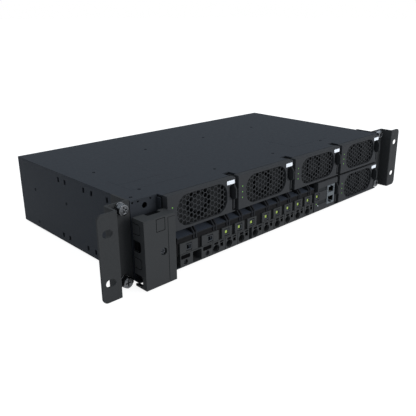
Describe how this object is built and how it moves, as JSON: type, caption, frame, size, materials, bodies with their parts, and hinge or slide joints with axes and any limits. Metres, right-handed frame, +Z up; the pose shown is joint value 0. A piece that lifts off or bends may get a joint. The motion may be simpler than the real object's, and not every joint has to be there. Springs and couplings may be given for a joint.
{
  "type": "rack power shelf",
  "caption": "Rack-mounted DC power shelf with slide-in rectifiers, fans behind honeycomb grilles, a controller, breakers, wire terminals, a covered AC input and rack ears.",
  "frame": {"origin": "centre of the four rack slots, on the plane where the ears meet the rack rails", "axes": "+X to the right seen from the front, +Y towards the back, +Z up"},
  "size_m": [0.4826, 0.2415, 0.0798],
  "materials": {
    "chassis_sheet": "satin",
    "ear_sheet": "satin",
    "front_paint": "satin",
    "bare_sheet": "zinc plated",
    "screw_steel": "bright",
    "dark_plastic": "fine grain",
    "grey_plastic": "fine grain",
    "light_plastic": "fine grain",
    "paddle_plastic": "gloss",
    "copper": "bright",
    "board": "lacquered"
  },
  "bodies": {
    "chassis": {"chassis_tray": "chassis_sheet", "top_cover": "chassis_sheet", "ac_bay_wall": "chassis_sheet", "row_shelf": "bare_sheet", "top_dividers": "bare_sheet", "lower_dividers": "bare_sheet", "backplane_board": "board", "backplane_sockets": "dark_plastic", "busbars": "copper", "ac_terminal_block": "dark_plastic", "ac_cover": "grey_plastic", "ac_cover_screw": "screw_steel", "ear_left": "ear_sheet", "ear_right": "ear_sheet", "bracket_left": "ear_sheet", "bracket_right": "ear_sheet", "ear_screws": "screw_steel", "guard_rail": "grey_plastic", "large_terminal_block": "dark_plastic", "small_terminal_left": "dark_plastic", "small_terminal_right": "dark_plastic", "large_breakers": "grey_plastic", "small_breakers_left": "grey_plastic", "small_breakers_right": "grey_plastic"},
    "rectifier_1": {"rectifier_1_case": "bare_sheet", "rectifier_1_front": "front_paint"},
    "rectifier_1_fan": {"rectifier_1_fan": "dark_plastic"},
    "rectifier_1_handle": {"rectifier_1_handle": "front_paint"},
    "rectifier_2": {"rectifier_2_case": "bare_sheet", "rectifier_2_front": "front_paint"},
    "rectifier_2_fan": {"rectifier_2_fan": "dark_plastic"},
    "rectifier_2_handle": {"rectifier_2_handle": "front_paint"},
    "rectifier_3": {"rectifier_3_case": "bare_sheet", "rectifier_3_front": "front_paint"},
    "rectifier_3_fan": {"rectifier_3_fan": "dark_plastic"},
    "rectifier_3_handle": {"rectifier_3_handle": "front_paint"},
    "rectifier_4": {"rectifier_4_case": "bare_sheet", "rectifier_4_front": "front_paint"},
    "rectifier_4_fan": {"rectifier_4_fan": "dark_plastic"},
    "rectifier_4_handle": {"rectifier_4_handle": "front_paint"},
    "rectifier_5": {"rectifier_5_case": "bare_sheet", "rectifier_5_front": "front_paint"},
    "rectifier_5_fan": {"rectifier_5_fan": "dark_plastic"},
    "rectifier_5_handle": {"rectifier_5_handle": "front_paint"},
    "controller": {"controller_case": "bare_sheet", "controller_front": "front_paint", "network_sockets": "light_plastic"},
    "controller_handle": {"controller_handle": "front_paint"},
    "large_toggle_1": {"large_toggle_1": "paddle_plastic"},
    "large_toggle_2": {"large_toggle_2": "paddle_plastic"},
    "small_toggle_1": {"small_toggle_1": "paddle_plastic"},
    "small_toggle_2": {"small_toggle_2": "paddle_plastic"},
    "small_toggle_3": {"small_toggle_3": "paddle_plastic"},
    "small_toggle_4": {"small_toggle_4": "paddle_plastic"},
    "small_toggle_5": {"small_toggle_5": "paddle_plastic"},
    "small_toggle_6": {"small_toggle_6": "paddle_plastic"},
    "small_toggle_7": {"small_toggle_7": "paddle_plastic"},
    "small_toggle_8": {"small_toggle_8": "paddle_plastic"},
    "controller_toggle": {"controller_toggle": "paddle_plastic"}
  },
  "joints": [
    {"name": "rectifier_1_pull_out", "type": "slide", "parent": "chassis", "child": "rectifier_1", "axis": [0, -1, 0], "range_m": [0, 0.2]},
    {"name": "rectifier_1_fan_spin", "type": "hinge", "parent": "rectifier_1", "child": "rectifier_1_fan", "pos_m": [-0.1255, 0.012, 0.0202], "axis": [0, 1, 0], "continuous": true},
    {"name": "rectifier_1_handle_swing", "type": "hinge", "parent": "rectifier_1", "child": "rectifier_1_handle", "pos_m": [-0.0835, 0.003, 0.0063], "axis": [1, 0, 0], "range_deg": [0, 80]},
    {"name": "rectifier_2_pull_out", "type": "slide", "parent": "chassis", "child": "rectifier_2", "axis": [0, -1, 0], "range_m": [0, 0.2]},
    {"name": "rectifier_2_fan_spin", "type": "hinge", "parent": "rectifier_2", "child": "rectifier_2_fan", "pos_m": [-0.0343, 0.012, 0.0202], "axis": [0, 1, 0], "continuous": true},
    {"name": "rectifier_2_handle_swing", "type": "hinge", "parent": "rectifier_2", "child": "rectifier_2_handle", "pos_m": [0.0077, 0.003, 0.0063], "axis": [1, 0, 0], "range_deg": [0, 80]},
    {"name": "rectifier_3_pull_out", "type": "slide", "parent": "chassis", "child": "rectifier_3", "axis": [0, -1, 0], "range_m": [0, 0.2]},
    {"name": "rectifier_3_fan_spin", "type": "hinge", "parent": "rectifier_3", "child": "rectifier_3_fan", "pos_m": [0.0569, 0.012, 0.0202], "axis": [0, 1, 0], "continuous": true},
    {"name": "rectifier_3_handle_swing", "type": "hinge", "parent": "rectifier_3", "child": "rectifier_3_handle", "pos_m": [0.0989, 0.003, 0.0063], "axis": [1, 0, 0], "range_deg": [0, 80]},
    {"name": "rectifier_4_pull_out", "type": "slide", "parent": "chassis", "child": "rectifier_4", "axis": [0, -1, 0], "range_m": [0, 0.2]},
    {"name": "rectifier_4_fan_spin", "type": "hinge", "parent": "rectifier_4", "child": "rectifier_4_fan", "pos_m": [0.1481, 0.012, 0.0202], "axis": [0, 1, 0], "continuous": true},
    {"name": "rectifier_4_handle_swing", "type": "hinge", "parent": "rectifier_4", "child": "rectifier_4_handle", "pos_m": [0.1901, 0.003, 0.0063], "axis": [1, 0, 0], "range_deg": [0, 80]},
    {"name": "rectifier_5_pull_out", "type": "slide", "parent": "chassis", "child": "rectifier_5", "axis": [0, -1, 0], "range_m": [0, 0.2]},
    {"name": "rectifier_5_fan_spin", "type": "hinge", "parent": "rectifier_5", "child": "rectifier_5_fan", "pos_m": [0.1481, 0.012, -0.018], "axis": [0, 1, 0], "continuous": true},
    {"name": "rectifier_5_handle_swing", "type": "hinge", "parent": "rectifier_5", "child": "rectifier_5_handle", "pos_m": [0.1901, 0.003, -0.0319], "axis": [1, 0, 0], "range_deg": [0, 80]},
    {"name": "controller_pull_out", "type": "slide", "parent": "chassis", "child": "controller", "axis": [0, -1, 0], "range_m": [0, 0.15]},
    {"name": "controller_handle_swing", "type": "hinge", "parent": "controller", "child": "controller_handle", "pos_m": [0.0987, 0.003, -0.0319], "axis": [1, 0, 0], "range_deg": [0, 80]},
    {"name": "large_toggle_1_flip", "type": "hinge", "parent": "chassis", "child": "large_toggle_1", "pos_m": [-0.1446, 0.0032, -0.0173], "axis": [1, 0, 0], "range_deg": [0, 14]},
    {"name": "large_toggle_2_flip", "type": "hinge", "parent": "chassis", "child": "large_toggle_2", "pos_m": [-0.1169, 0.0032, -0.0173], "axis": [1, 0, 0], "range_deg": [0, 14]},
    {"name": "small_toggle_1_flip", "type": "hinge", "parent": "chassis", "child": "small_toggle_1", "pos_m": [-0.094, 0.0032, -0.0173], "axis": [1, 0, 0], "range_deg": [0, 14]},
    {"name": "small_toggle_2_flip", "type": "hinge", "parent": "chassis", "child": "small_toggle_2", "pos_m": [-0.07535, 0.0032, -0.0173], "axis": [1, 0, 0], "range_deg": [0, 14]},
    {"name": "small_toggle_3_flip", "type": "hinge", "parent": "chassis", "child": "small_toggle_3", "pos_m": [-0.0567, 0.0032, -0.0173], "axis": [1, 0, 0], "range_deg": [0, 14]},
    {"name": "small_toggle_4_flip", "type": "hinge", "parent": "chassis", "child": "small_toggle_4", "pos_m": [-0.0334, 0.0032, -0.0173], "axis": [1, 0, 0], "range_deg": [0, 14]},
    {"name": "small_toggle_5_flip", "type": "hinge", "parent": "chassis", "child": "small_toggle_5", "pos_m": [-0.01475, 0.0032, -0.0173], "axis": [1, 0, 0], "range_deg": [0, 14]},
    {"name": "small_toggle_6_flip", "type": "hinge", "parent": "chassis", "child": "small_toggle_6", "pos_m": [0.0039, 0.0032, -0.0173], "axis": [1, 0, 0], "range_deg": [0, 14]},
    {"name": "small_toggle_7_flip", "type": "hinge", "parent": "chassis", "child": "small_toggle_7", "pos_m": [0.02255, 0.0032, -0.0173], "axis": [1, 0, 0], "range_deg": [0, 14]},
    {"name": "small_toggle_8_flip", "type": "hinge", "parent": "chassis", "child": "small_toggle_8", "pos_m": [0.0412, 0.0032, -0.0173], "axis": [1, 0, 0], "range_deg": [0, 14]},
    {"name": "controller_toggle_flip", "type": "hinge", "parent": "controller", "child": "controller_toggle", "pos_m": [0.0595, 0.0032, -0.0173], "axis": [1, 0, 0], "range_deg": [0, 14]}
  ]
}
